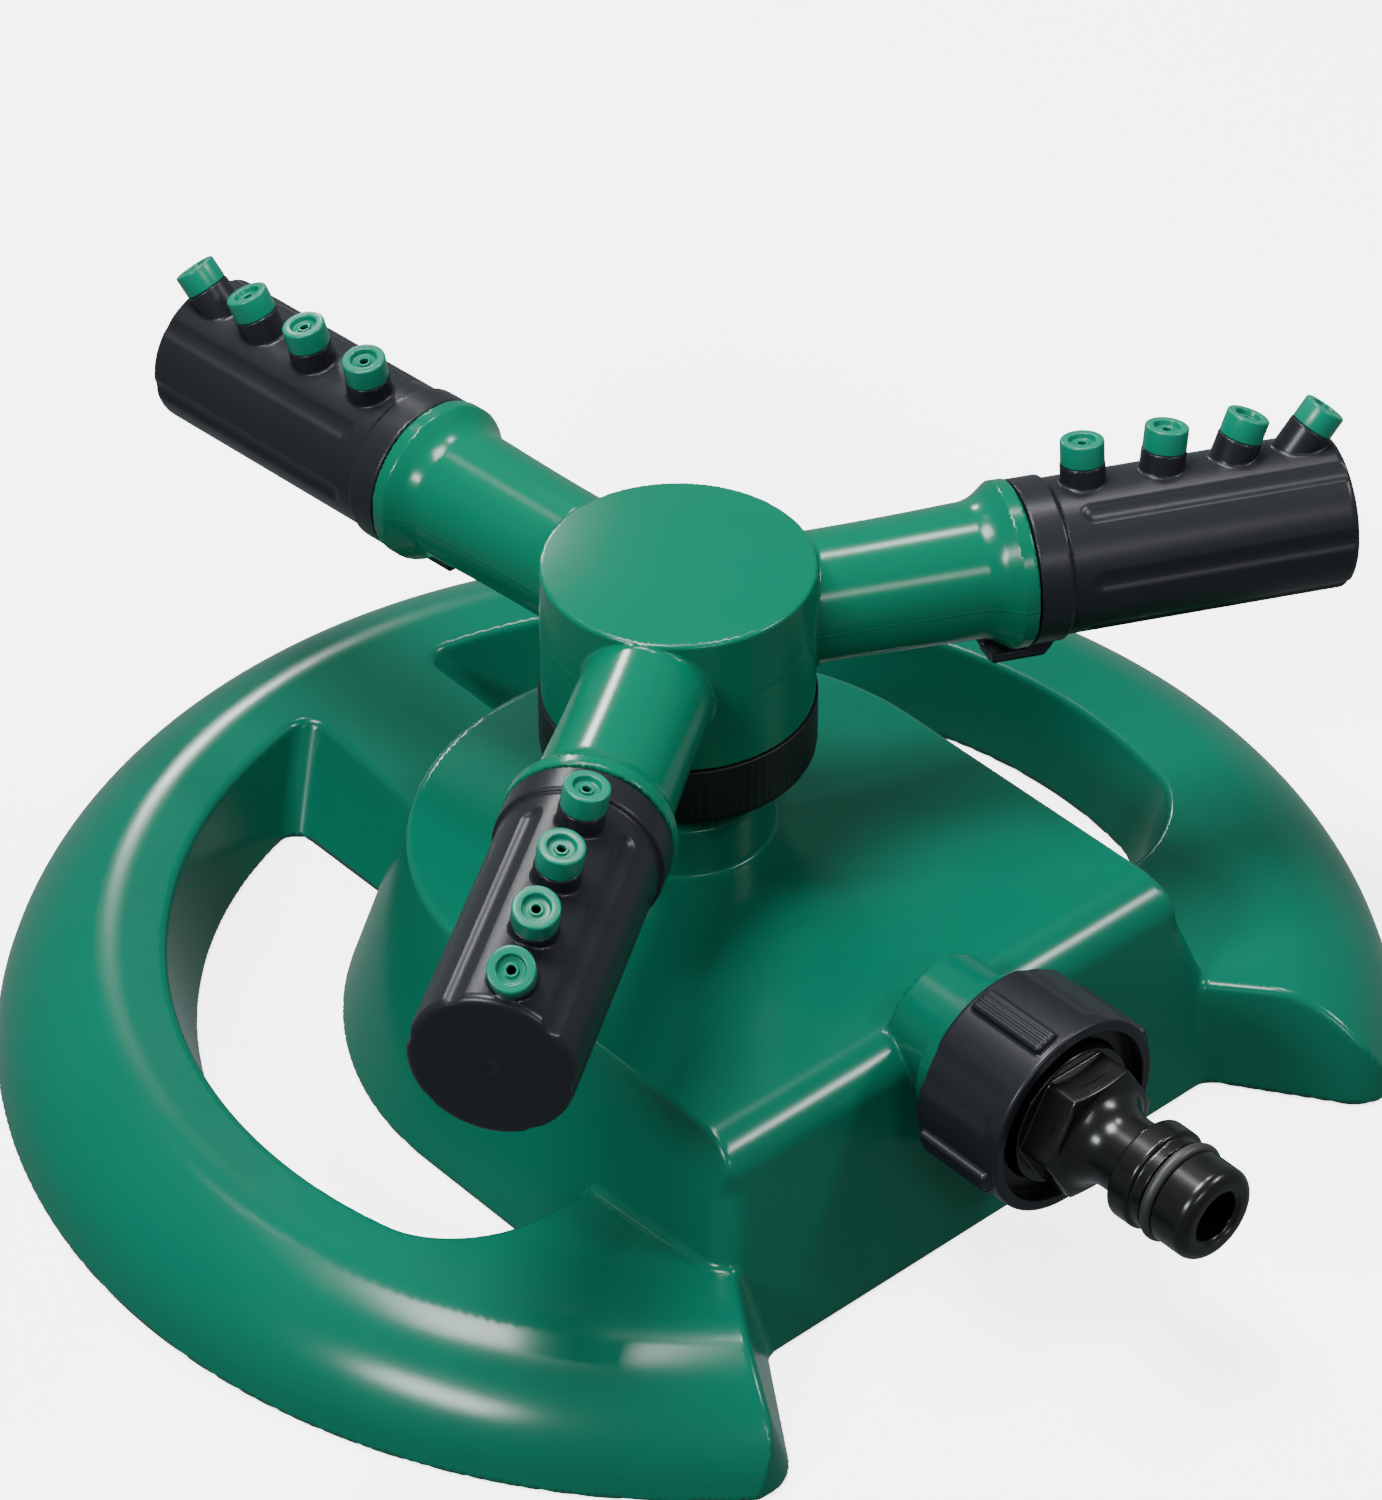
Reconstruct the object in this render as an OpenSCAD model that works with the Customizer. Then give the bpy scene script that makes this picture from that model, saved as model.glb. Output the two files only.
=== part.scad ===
// Three-arm rotary lawn sprinkler: a C-shaped hollow base with a hump, a spinning head with three arms,
// a turnable nozzle barrel on each arm, and a hose inlet held by a swivel nut.
// +Z is up and Z = 0 is the ground. The head spins about the Z axis and the hose leaves towards -Y.

/* [Base] */
// Radius of the base at the ground
base_r = 116; // [105:1:125]
// How far the middle of the base ring lies in front of the head's axis
base_offset = 4.7; // [0:0.1:8]
// Height of the ring's top at its crest
ring_h = 18; // [14:1:22]
// Radius of the windows' outer wall at the ground
window_r = 82.5; // [78:0.5:88]
// Height of the hump's flat top
hump_h = 36.5; // [34:0.5:38]
// Radius of the hump's rounded back at the ground
hump_r = 59; // [55:1:62]
// How far the hump's front face lies in front of the head's axis, at the ground
hump_front = 75; // [70:1:80]
// Half of the angle that the ring leaves open at the front
open_half_angle = 34.3; // [30:0.1:38]
// Wall thickness of the base moulding
wall = 2.5; // [2:0.1:3]

/* [Head] */
// Radius of the hub
hub_r = 22; // [21:0.5:24]
// Height of the hub's flat underside
hub_z = 63.2; // [62:0.1:64]
// Height of the hub's top edge
hub_top_z = 87.6; // [87:0.1:90]
// Rise of the hub's domed top
hub_crown = 1.2; // [0.5:0.1:2]
// Height of the arms' axes
arm_z = 76.4; // [76:0.1:77]
// Radius of an arm where it leaves the hub
arm_r = 10.7; // [10:0.1:11]
// Distance from the head's axis to the end of an arm's flange
arm_reach = 56; // [52:1:60]
// Angle from +Y of the arm that points backwards
head_turn = 4.2; // [-30:0.1:30]

/* [Nozzle barrels] */
// Distance from the head's axis to the closed end of a barrel
barrel_reach = 110.5; // [108:0.5:114]
// Radius of the fluted body
barrel_r = 12.8; // [12.5:0.1:13]
// Radius of the skirt beside the arm's flange
skirt_r = 13.5; // [13.2:0.1:13.8]
// Lean of the row of tips from upright, seen along the arm
barrel_lean = 10; // [0:1:20]
// Distance from the head's axis to the foot of each nozzle post
tip_reach = [67.8, 81.2, 93.4, 104.8]; // [66:0.1:106]
// Outward lean of each nozzle post
tip_lean = [0, 8, 22, 38]; // [0:1:40]
// Radius of a nozzle tip
tip_r = 3.6; // [3.2:0.1:3.8]

/* [Inlet] */
// Height of the inlet's axis
inlet_z = 32.3; // [32:0.1:33]
// Radius over the pipe's thread
thread_r = 13.2; // [13:0.1:13.3]
// Radius of the nut's rim
nut_r = 17; // [16.5:0.1:17.5]
// Distance from the head's axis to the nut's back
nut_back = 74; // [73.5:0.1:74.5]
// Length of the nut
nut_len = 17.5; // [17:0.1:18]
// Radius of the nipple's catch collar
collar_r = 8.6; // [8.4:0.1:8.8]
// Distance from the head's axis to the nipple's mouth
mouth_reach = 122.5; // [121:0.1:124]

/* [Hidden] */
$fn = 72;
eps = 0.01;
big = 300;
base_green = "#00805e";
head_green = "#0a8a5e";
soft_black = "#1d1e22";
rubber_black = "#101012";
washer_white = "#e6e6de";

// The ring's section: its inner wall leans outwards, its top is nearly flat, and its outer edge is round.
wall_lean = 4.5;
ring_inner_h = ring_h - 1;
edge_r = 15;
flat_top_r = window_r + 2;
crest_r = base_r - 2 - edge_r;
end_draft = 16;

// The spoke behind the hump, half its width at the ground and at its top.
spoke_foot = 22;
spoke_top = 12.5;
// The front end of each window, at the ground and at the ring's top.
window_front_foot = 36;
window_front_top = 41;

// The hump's walls lean in by this much from the ground to its top.
hump_lean = 12;
hump_front_lean = 10;
hump_edge_r = 6;
edge_steps = 6;

// The boss on the hump that the head turns above, and the opening through it.
boss_r = 15.7;
boss_top_z = 46;
boss_bore_r = 8.2;

// The bulge in the hump's top over the inlet.
bulge_r = 11.2;
bulge_z = 33;
bulge_back = 60.5;
bulge_front = 70;

// The inlet pipe: a threaded spigot, a wide socket behind it, a step down, and a lower tube back
// to the post.
spigot_front = 82;
spigot_bore_r = 6;
socket_r = 8.2;
socket_back = 63.2;
step_z = 25.9;
step_r = 6.5;
step_back = 50;
step_bore_z = 28.3;
step_bore_r = 3;
channel_z = 21.5;
channel_r = 7;
channel_bore_r = 5.5;
upright_r = 11;
upright_foot_z = 12.5;

// The pivot post: its foot in the upright, its neck, and the flange that holds the head down.
post_foot_r = 8;
post_foot_z = 24;
neck_r = 10.5;
flange_r = 13.6;
flange_z = 56.4;
flange_t = 2.8;
post_r = 9.9;
post_top_z = 70;
gasket_t = 1.6;

// The retaining ring, which screws up round the hub's spigot.
ring_r = 22.4;
ring_z = 51.5;
ring_lip_t = 3;
ring_bore_r = 10.6;
ring_thread_r = 17.2;
spigot_r = 17.05;
spigot_z = 56.2;
spigot_inner_r = 14.3;
washer_t = 1.6;
seal_t = 1.8;

// Inside the head: the post's bearing, the water chamber and the arms' bores.
bearing_r = 9.96;
chamber_top_z = 84;
arm_root = 12;
crown_steps = 4;
arm_bore_r = 7;
arm_end_r = 11.2;
flare_len = 3.6;
rim_r = 13.75;
rim_len = 2.4;
spindle_r = 9.6;
spindle_end = 70;
bead_r = 10.2;
bead_len = 1.6;
groove_len = 2.2;
groove_depth = 1.2;
groove_at = 63;

// Inside a barrel.
skirt_gap = 0.3;
skirt_len = 5.5;
barrel_bore_r = 9.68;
barrel_water_r = 8.6;
barrel_end_t = 3;
catch_r = 10.4;
flute_depth = 0.7;
flute_r = 3;
flute_angles = [36, 88, 140, 220, 272, 324];
tab_inner_r = 14.1;
tab_outer_r = 15.7;
tab_reach = 50.5;
tab_angle = 34;

// A nozzle post and the tip pressed on it, along the post's own axis from the barrel's surface.
post_h = 3.1;
post_outer_r = 3.7;
tip_h = 4;
stem_r = 2;
stem_h = 2.4;
jet_r = 0.7;
funnel_r = 2.2;
funnel_h = 1.1;

// The nut and the nipple, by distance in front of the head's axis.
nut_front = nut_back + nut_len;
nut_rim_r = 15;
nut_rim_depth = 2.6;
nut_lip_t = 2.6;
nut_lip_r = 12.2;
nut_bore_r = thread_r + 0.1;
lug_count = 4;
lug_turn = 17;
lug_r = 18.3;
lug_w = 7;
lug_back_gap = 1.5;
lug_front_gap = 1.2;
plate_r = 13;
plate_t = 2.1;
plate_front = nut_front - nut_rim_depth - nut_lip_t - 0.1;
washer_back = spigot_front + 0.05;
shank_r = 11.9;
shank_front = 91.2;
hex_r = 11.4;
hex_front = 97.6;
hex_core_r = hex_r * cos(30) - 0.5;
neck_front = 107;
nipple_neck_r = 6.3;
collar_len = 4.2;
nose_r = 7.9;
oring_groove_r = 6.5;
oring_back = 113.2;
oring_w = 2.6;
nose_round = 2.2;
nipple_bore_r = 4.2;

arms = [0, 1, 2];
tips = [0, 1, 2, 3];

function arm_name(k) = str("nozzle_barrel_", k + 1);
function oring_name(k) = str("arm_oring_", k + 1);
function tip_name(k, i) = str("nozzle_tip_", k + 1, "_", i + 1);

// A washer or tube standing on the head's axis.
module tube_z(outer, inner, z0, z1) {
    translate([0, 0, z0])
        difference() {
            cylinder(r = outer, h = z1 - z0);
            translate([0, 0, -1])
                cylinder(r = inner, h = z1 - z0 + 2);
        }
}

// A rod on the inlet's axis between two distances in front of the head's axis.
module rod_y(r, y0, y1, z = inlet_z) {
    translate([0, -y0, z])
        rotate([90, 0, 0])
            cylinder(r = r, h = y1 - y0);
}

// A profile of radius against distance, turned about the inlet's axis.
module turned_y() {
    translate([0, 0, inlet_z])
        rotate([90, 0, 0])
            rotate_extrude()
                children();
}

// Places its children on arm k: +X runs out along the arm and +Z stays up.
module on_arm(k) {
    rotate([0, 0, 90 + head_turn + 120 * (k - 1)])
        translate([0, 0, arm_z])
            children();
}

// A rod on an arm's axis between two distances from the head's axis.
module rod_x(r, x0, x1) {
    translate([x0, 0, 0])
        rotate([0, 90, 0])
            cylinder(r = r, h = x1 - x0);
}

// ---- base ----

// Section of the plate that the ring, the spoke and the front webs are cut from, drawn in by t.
module plate_section(t) {
    difference() {
        union() {
            polygon([
                [0, -t - eps],
                [base_r - t, -t - eps],
                [base_r - 2.1 - t, ring_h - edge_r],
                [crest_r, ring_h - edge_r],
                [crest_r, ring_h - t],
                [flat_top_r, ring_inner_h - t],
                [0, ring_inner_h - t]
            ]);
            translate([crest_r, ring_h - edge_r])
                circle(r = edge_r - t);
        }
        translate([-big, -big - t - eps])
            square([2 * big, big]);
        translate([-big, -big / 2])
            square([big, big]);
    }
}

// One window, grown by t: a cone outside, the spoke's side behind and a sloping wall in front.
module window(t) {
    spoke_angle = atan((spoke_foot - spoke_top) / ring_inner_h);
    front_angle = atan((window_front_top - window_front_foot) / ring_inner_h);
    intersection() {
        translate([0, -base_offset, 0])
            rotate_extrude()
                polygon([
                    [0, -ring_h],
                    [window_r + t - wall_lean * ring_h / ring_inner_h, -ring_h],
                    [window_r + t + wall_lean * 2 * ring_h / ring_inner_h, 2 * ring_h],
                    [0, 2 * ring_h]
                ]);
        translate([-spoke_foot + t, 0, 0])
            rotate([0, spoke_angle, 0])
                translate([-big, -big / 2, -big / 2])
                    cube(big);
        translate([0, -window_front_foot - t, 0])
            rotate([front_angle, 0, 0])
                translate([-big / 2, 0, -big / 2])
                    cube(big);
    }
}

// The sector left open at the front, its two side faces leaning back and moved back by t.
module front_gap(t) {
    intersection_for(side = [0, 1])
        mirror([side, 0, 0])
            translate([0, -base_offset, 0])
                rotate([0, 0, open_half_angle])
                    rotate([0, end_draft, 0])
                        translate([t - big, -big, -big / 2])
                            cube(big);
}

// The ring with its spoke and front webs, drawn in by t.
module ring_body(t) {
    difference() {
        translate([0, -base_offset, 0])
            rotate_extrude()
                plate_section(t);
        for (side = [0, 1])
            mirror([side, 0, 0])
                window(t);
        front_gap(t);
    }
}

// The hump, drawn in by t: a cone behind, sloping sides and a sloping front with a round top edge.
module hump_body(t) {
    low = -t - eps;
    top = hump_h - t;
    foot = hump_r - t + hump_lean * (t + eps) / hump_h;
    head = hump_r - t - hump_lean * top / hump_h;
    intersection() {
        union() {
            translate([0, -base_offset, 0])
                rotate_extrude()
                    polygon([[0, low], [foot, low], [head, top], [0, top]]);
            translate([0, -base_offset, 0])
                rotate([90, 0, 0])
                    linear_extrude(hump_front + 10)
                        polygon([[-foot, low], [foot, low], [head, top], [-head, top]]);
        }
        rotate([90, 0, 90])
            translate([0, 0, -big / 2])
                linear_extrude(big)
                    hump_side_view(t);
    }
}

// The hump seen from the side, with its front to the left and its front edge rounded in steps.
module hump_side_view(t) {
    low = -t - eps;
    top = hump_h - t;
    front = -hump_front + t;
    slope = hump_front_lean / hump_h;
    round_r = hump_edge_r - t;
    round_y = front + slope * (top - round_r) + round_r * sqrt(1 + slope * slope);
    start = 180 - atan(slope);
    polygon(concat(
        [[big / 2, low], [front + slope * low, low]],
        [for (n = [0:edge_steps])
            [round_y + round_r * cos(start + (90 - start) * n / edge_steps),
             top - round_r + round_r * sin(start + (90 - start) * n / edge_steps)]],
        [[big / 2, top]]
    ));
}

module base_shell() {
    color(base_green)
        difference() {
            union() {
                ring_body(0);
                hump_body(0);
                rod_y(bulge_r, bulge_back, bulge_front, bulge_z);
                translate([0, 0, hump_h - 1])
                    cylinder(r = boss_r, h = boss_top_z - hump_h + 1);
            }
            ring_body(wall);
            hump_body(wall);
            rod_y(bulge_r - wall, bulge_back + wall, bulge_front - wall, bulge_z);
            rod_y(socket_r + 0.1, bulge_back + wall - 0.4, bulge_front + 1);
            translate([0, 0, hump_h - 2 * wall])
                cylinder(r = boss_bore_r, h = big);
        }
}

// The inlet pipe: spigot and socket in front, the step and the channel below them, and the upright
// under the post.
module inlet_pipe() {
    color(base_green)
        difference() {
            union() {
                rod_y(thread_r, bulge_front + 0.2, spigot_front);
                rod_y(socket_r, socket_back, bulge_front + 0.3);
                rod_y(step_r, step_back, socket_back + 0.6, step_z);
                rod_y(channel_r, 0, socket_back - 1.2, channel_z);
                translate([0, 0, upright_foot_z])
                    cylinder(r = upright_r, h = hump_h - wall - upright_foot_z);
            }
            rod_y(spigot_bore_r, socket_back + 1.6, spigot_front + 1);
            rod_y(step_bore_r, step_back + 2, socket_back + 2.6, step_bore_z);
            rod_y(channel_bore_r, -1, socket_back - 2.7, channel_z);
            translate([0, 0, post_foot_z - 6])
                cylinder(r = channel_bore_r, h = big);
            translate([0, 0, post_foot_z])
                cylinder(r = post_foot_r + 0.05, h = big);
        }
}

// The post that the head turns on, pressed down through the boss.
module pivot_post() {
    color(soft_black)
        difference() {
            union() {
                translate([0, 0, post_foot_z])
                    cylinder(r = post_foot_r, h = post_top_z - post_foot_z);
                translate([0, 0, boss_top_z + gasket_t])
                    cylinder(r = neck_r, h = flange_z + 1 - boss_top_z - gasket_t);
                translate([0, 0, flange_z])
                    cylinder(r = flange_r, h = flange_t);
                translate([0, 0, flange_z + flange_t - 1])
                    cylinder(r = post_r, h = post_top_z - flange_z - flange_t + 1);
            }
            cylinder(r = channel_bore_r, h = big);
        }
}

module post_gasket() {
    color(rubber_black)
        tube_z(neck_r, post_foot_r + 0.05, boss_top_z, boss_top_z + gasket_t);
}

// ---- head ----

// An arm's outline of radius against distance from the head's axis.
module arm_profile() {
    rim_back = arm_reach - rim_len;
    flare_back = rim_back - flare_len;
    polygon([
        [arm_root, 0],
        [arm_root, arm_r],
        [hub_r, arm_r],
        [flare_back, arm_end_r],
        [rim_back, rim_r],
        [arm_reach, rim_r],
        [arm_reach, spindle_r],
        [groove_at, spindle_r],
        [groove_at, spindle_r - groove_depth],
        [groove_at + groove_len, spindle_r - groove_depth],
        [groove_at + groove_len, spindle_r],
        [spindle_end - bead_len, spindle_r],
        [spindle_end - bead_len / 2, bead_r],
        [spindle_end, spindle_r],
        [spindle_end, 0]
    ]);
}

// Turns a profile drawn as [distance, radius] about an arm's axis.
module turned_x() {
    rotate([0, 90, 0])
        rotate_extrude()
            rotate(90)
                mirror([0, 1, 0])
                    children();
}

// The hub's outline down to the end of its spigot, as [radius, height].
module hub_profile() {
    crown_r = (hub_r * hub_r + hub_crown * hub_crown) / (2 * hub_crown);
    crown_angle = asin(hub_r / crown_r);
    polygon(concat(
        [[0, spigot_z], [spigot_r, spigot_z], [spigot_r, hub_z], [hub_r, hub_z]],
        [for (n = [crown_steps:-1:0])
            [crown_r * sin(crown_angle * n / crown_steps),
             hub_top_z + hub_crown - crown_r * (1 - cos(crown_angle * n / crown_steps))]]
    ));
}

// The hub's hollow: the spigot's bore, the seal's seat, the bearing and the water chamber.
module hub_hollow() {
    seat_z = flange_z + flange_t + seal_t + 0.2;
    polygon([
        [0, spigot_z - 1],
        [spigot_inner_r, spigot_z - 1],
        [spigot_inner_r, seat_z],
        [bearing_r, seat_z],
        [bearing_r, chamber_top_z],
        [0, chamber_top_z]
    ]);
}

module spray_head() {
    color(head_green)
        difference() {
            union() {
                rotate_extrude()
                    hub_profile();
                for (k = arms)
                    on_arm(k)
                        turned_x()
                            arm_profile();
            }
            rotate_extrude()
                hub_hollow();
            for (k = arms)
                on_arm(k)
                    rod_x(arm_bore_r, arm_root / 2, spindle_end + 1);
        }
}

// The ring that holds the head on the post; its lip passes under the post's flange.
module retaining_ring() {
    color(soft_black)
        difference() {
            translate([0, 0, ring_z])
                cylinder(r = ring_r, h = hub_z - ring_z);
            cylinder(r = ring_bore_r, h = big);
            translate([0, 0, ring_z + ring_lip_t])
                cylinder(r = ring_thread_r, h = big);
        }
}

module thrust_washer() {
    z0 = ring_z + ring_lip_t;
    color(washer_white)
        tube_z(spigot_inner_r - 0.2, ring_bore_r, z0, z0 + washer_t);
}

module head_seal() {
    z0 = flange_z + flange_t + 0.15;
    color(rubber_black)
        tube_z(spigot_inner_r, post_r + 0.08, z0, z0 + seal_t);
}

module arm_oring(k) {
    section_r = groove_depth / 2;
    color(rubber_black)
        on_arm(k)
            rotate([0, 90, 0])
                translate([0, 0, groove_at + groove_len / 2])
                    rotate_extrude()
                        translate([spindle_r - section_r + 0.01, 0])
                            circle(r = section_r, $fn = 32);
}

// ---- nozzle barrels ----

// A barrel's outline of radius against distance from the head's axis.
module barrel_profile() {
    skirt_back = arm_reach + skirt_gap;
    skirt_front = skirt_back + skirt_len;
    polygon([
        [skirt_back, 0],
        [skirt_back, skirt_r],
        [skirt_front - 0.4, skirt_r],
        [skirt_front, barrel_r],
        [barrel_reach - 0.8, barrel_r],
        [barrel_reach, barrel_r - 0.8],
        [barrel_reach, 0]
    ]);
}

// The hollow of a barrel: its bearing, the groove that its arm's bead snaps into, and its water space.
module barrel_hollow() {
    polygon([
        [arm_reach - 1, 0],
        [arm_reach - 1, barrel_bore_r],
        [spindle_end - bead_len - 0.4, barrel_bore_r],
        [spindle_end - bead_len, catch_r],
        [spindle_end + 0.2, catch_r],
        [spindle_end + 0.6, barrel_bore_r],
        [spindle_end + 2, barrel_water_r],
        [barrel_reach - barrel_end_t, barrel_water_r],
        [barrel_reach - barrel_end_t, 0]
    ]);
}

// Places its children on arm k, turned with its barrel.
module on_barrel(k) {
    on_arm(k)
        rotate([-barrel_lean, 0, 0])
            children();
}

// Places its children at the foot of post i on barrel k, with +Z out along the post.
module on_post(k, i) {
    on_barrel(k)
        translate([tip_reach[i], 0, barrel_r])
            rotate([0, tip_lean[i], 0])
                children();
}

// The tongue that reaches back under the arm's flange, opposite the tips.
module barrel_tab() {
    intersection() {
        turned_x()
            polygon([
                [tab_reach, tab_inner_r],
                [tab_reach, tab_outer_r - 0.8],
                [tab_reach + 0.8, tab_outer_r],
                [arm_reach + skirt_gap + 1, tab_outer_r],
                [arm_reach + skirt_gap + skirt_len - 1, skirt_r - 0.5],
                [arm_reach + skirt_gap, skirt_r - 0.5],
                [arm_reach + skirt_gap, tab_inner_r]
            ]);
        translate([tab_reach - 1, -tab_outer_r * sin(tab_angle / 2), -2 * tab_outer_r])
            cube([20, 2 * tab_outer_r * sin(tab_angle / 2), 2 * tab_outer_r]);
    }
}

module flute(angle) {
    rotate([angle, 0, 0])
        translate([arm_reach + skirt_gap + skirt_len + 5, 0, barrel_r + flute_r - flute_depth]) {
            sphere(r = flute_r);
            rod_x(flute_r, 0, barrel_reach);
        }
}

module nozzle_barrel(k) {
    color(soft_black)
        difference() {
            union() {
                on_barrel(k)
                    difference() {
                        union() {
                            turned_x()
                                barrel_profile();
                            barrel_tab();
                        }
                        for (angle = flute_angles)
                            flute(angle);
                    }
                for (i = tips)
                    on_post(k, i) {
                        translate([0, 0, -3])
                            cylinder(r = post_outer_r, h = post_h + 3);
                        cylinder(r = stem_r, h = post_h + stem_h);
                    }
            }
            on_barrel(k)
                turned_x()
                    barrel_hollow();
            for (i = tips)
                on_post(k, i)
                    translate([0, 0, -8])
                        cylinder(r = 2 * jet_r, h = post_h + stem_h + 9);
        }
}

module nozzle_tip(k, i) {
    color(head_green)
        on_post(k, i)
            translate([0, 0, post_h])
                difference() {
                    union() {
                        difference() {
                            cylinder(r = tip_r, h = tip_h);
                            translate([0, 0, tip_h - funnel_h])
                                cylinder(r = funnel_r, h = funnel_h + 1);
                        }
                        translate([0, 0, tip_h - funnel_h - 0.3])
                            cylinder(r = funnel_r / 2, h = 0.3 + funnel_h / 2);
                    }
                    translate([0, 0, -1])
                        cylinder(r = stem_r + 0.02, h = stem_h + 1.05);
                    cylinder(r = jet_r, h = tip_h + 1);
                }
}

// ---- inlet ----

// The nut's outline and hollow, as radius against distance in front of the head's axis.
module nut_profile() {
    polygon([
        [nut_bore_r, nut_back],
        [nut_r - 0.8, nut_back],
        [nut_r, nut_back + 0.8],
        [nut_r, nut_front - 0.5],
        [nut_r - 0.5, nut_front],
        [nut_rim_r, nut_front],
        [nut_rim_r, nut_front - nut_rim_depth],
        [nut_lip_r, nut_front - nut_rim_depth],
        [nut_lip_r, nut_front - nut_rim_depth - nut_lip_t],
        [nut_bore_r, nut_front - nut_rim_depth - nut_lip_t]
    ]);
}

module nut_lug() {
    length = nut_len - lug_back_gap - lug_front_gap;
    translate([-lug_w / 2, -nut_back - lug_back_gap - length, nut_r - 2])
        cube([lug_w, length, lug_r - nut_r + 2]);
}

module swivel_nut() {
    color(soft_black)
        union() {
            turned_y()
                nut_profile();
            translate([0, 0, inlet_z])
                for (n = [0:lug_count - 1])
                    rotate([0, -lug_turn - n * 360 / lug_count, 0])
                        nut_lug();
        }
}

// The adaptor's outline from its clamped plate to the nipple's mouth.
module adaptor_profile() {
    plate_back = plate_front - plate_t;
    polygon([
        [0, plate_back],
        [plate_r, plate_back],
        [plate_r, plate_front],
        [shank_r, plate_front],
        [shank_r, shank_front],
        [hex_core_r, shank_front],
        [hex_core_r, hex_front],
        [nipple_neck_r + 1.2, hex_front + 2.4],
        [nipple_neck_r, hex_front + 5],
        [nipple_neck_r, neck_front - 1],
        [collar_r, neck_front],
        [collar_r, neck_front + collar_len],
        [nose_r, neck_front + collar_len + 0.7],
        [nose_r, oring_back],
        [oring_groove_r, oring_back],
        [oring_groove_r, oring_back + oring_w],
        [nose_r, oring_back + oring_w],
        [nose_r, mouth_reach - nose_round],
        [nose_r - nose_round * 0.3, mouth_reach - nose_round * 0.3],
        [nose_r - nose_round, mouth_reach],
        [0, mouth_reach]
    ]);
}

module hose_adaptor() {
    color(rubber_black)
        difference() {
            union() {
                turned_y()
                    adaptor_profile();
                translate([0, -shank_front + 0.5, inlet_z])
                    rotate([90, 30, 0])
                        cylinder(r = hex_r, h = hex_front - shank_front + 0.5, $fn = 6);
            }
            rod_y(nipple_bore_r, plate_front - plate_t - 1, mouth_reach + 1);
        }
}

module adaptor_oring() {
    section_r = (collar_r - oring_groove_r) / 2 - 0.025;
    color(rubber_black)
        turned_y()
            translate([oring_groove_r + section_r, oring_back + oring_w / 2])
                circle(r = section_r, $fn = 32);
}

module inlet_washer() {
    color(rubber_black)
        difference() {
            rod_y(plate_r, washer_back, plate_front - plate_t);
            rod_y(spigot_bore_r, washer_back - 1, plate_front);
        }
}

base_shell();
inlet_pipe();
pivot_post();
post_gasket();
spray_head();
retaining_ring();
thrust_washer();
head_seal();
for (k = arms)
    arm_oring(k);
for (k = arms)
    nozzle_barrel(k);
for (k = arms, i = tips)
    nozzle_tip(k, i);
swivel_nut();
hose_adaptor();
adaptor_oring();
inlet_washer();
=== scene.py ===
import math

import bmesh
import bpy
import numpy as np
from mathutils import Matrix, Vector


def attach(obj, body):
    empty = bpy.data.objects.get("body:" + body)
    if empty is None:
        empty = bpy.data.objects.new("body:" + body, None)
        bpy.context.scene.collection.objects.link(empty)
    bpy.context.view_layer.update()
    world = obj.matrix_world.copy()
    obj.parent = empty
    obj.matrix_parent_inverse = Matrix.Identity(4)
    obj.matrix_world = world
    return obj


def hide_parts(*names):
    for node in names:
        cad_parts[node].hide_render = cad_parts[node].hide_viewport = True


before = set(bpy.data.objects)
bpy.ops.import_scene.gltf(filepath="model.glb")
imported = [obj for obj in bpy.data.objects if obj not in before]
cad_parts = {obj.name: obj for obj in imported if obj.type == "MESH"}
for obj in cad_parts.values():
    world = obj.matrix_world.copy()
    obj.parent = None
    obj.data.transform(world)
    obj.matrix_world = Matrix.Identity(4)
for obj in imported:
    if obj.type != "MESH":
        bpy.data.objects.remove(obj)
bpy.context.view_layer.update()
MM = 0.001
ARM_Z = 76.4  # height of the arms' axes, where the head's parting line also lies

# ---- distance fields, in millimetres ----


def round_union(a, b, r):
    """Union of two fields with a fillet of radius r where they meet."""
    return np.maximum(r, np.minimum(a, b)) - np.hypot(np.maximum(r - a, 0), np.maximum(r - b, 0))


def round_cut(a, b, r):
    """What lies inside both fields, with its edge rounded to radius r."""
    return np.minimum(-r, np.maximum(a, b)) + np.hypot(np.maximum(r + a, 0), np.maximum(r + b, 0))


def step(x, low, high):
    """0 below low and 1 above high, with a smooth change between them."""
    t = np.clip((x - low) / (high - low), 0, 1)
    return t * t * (3 - 2 * t)


def gradient(field, points, h=0.02):
    """Direction in which the field grows, at each point."""
    slopes = []
    for axis in range(3):
        ahead, behind = points.copy(), points.copy()
        ahead[axis] += h
        behind[axis] -= h
        slopes.append((field(*ahead) - field(*behind)) / (2 * h))
    return np.array(slopes)


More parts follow.
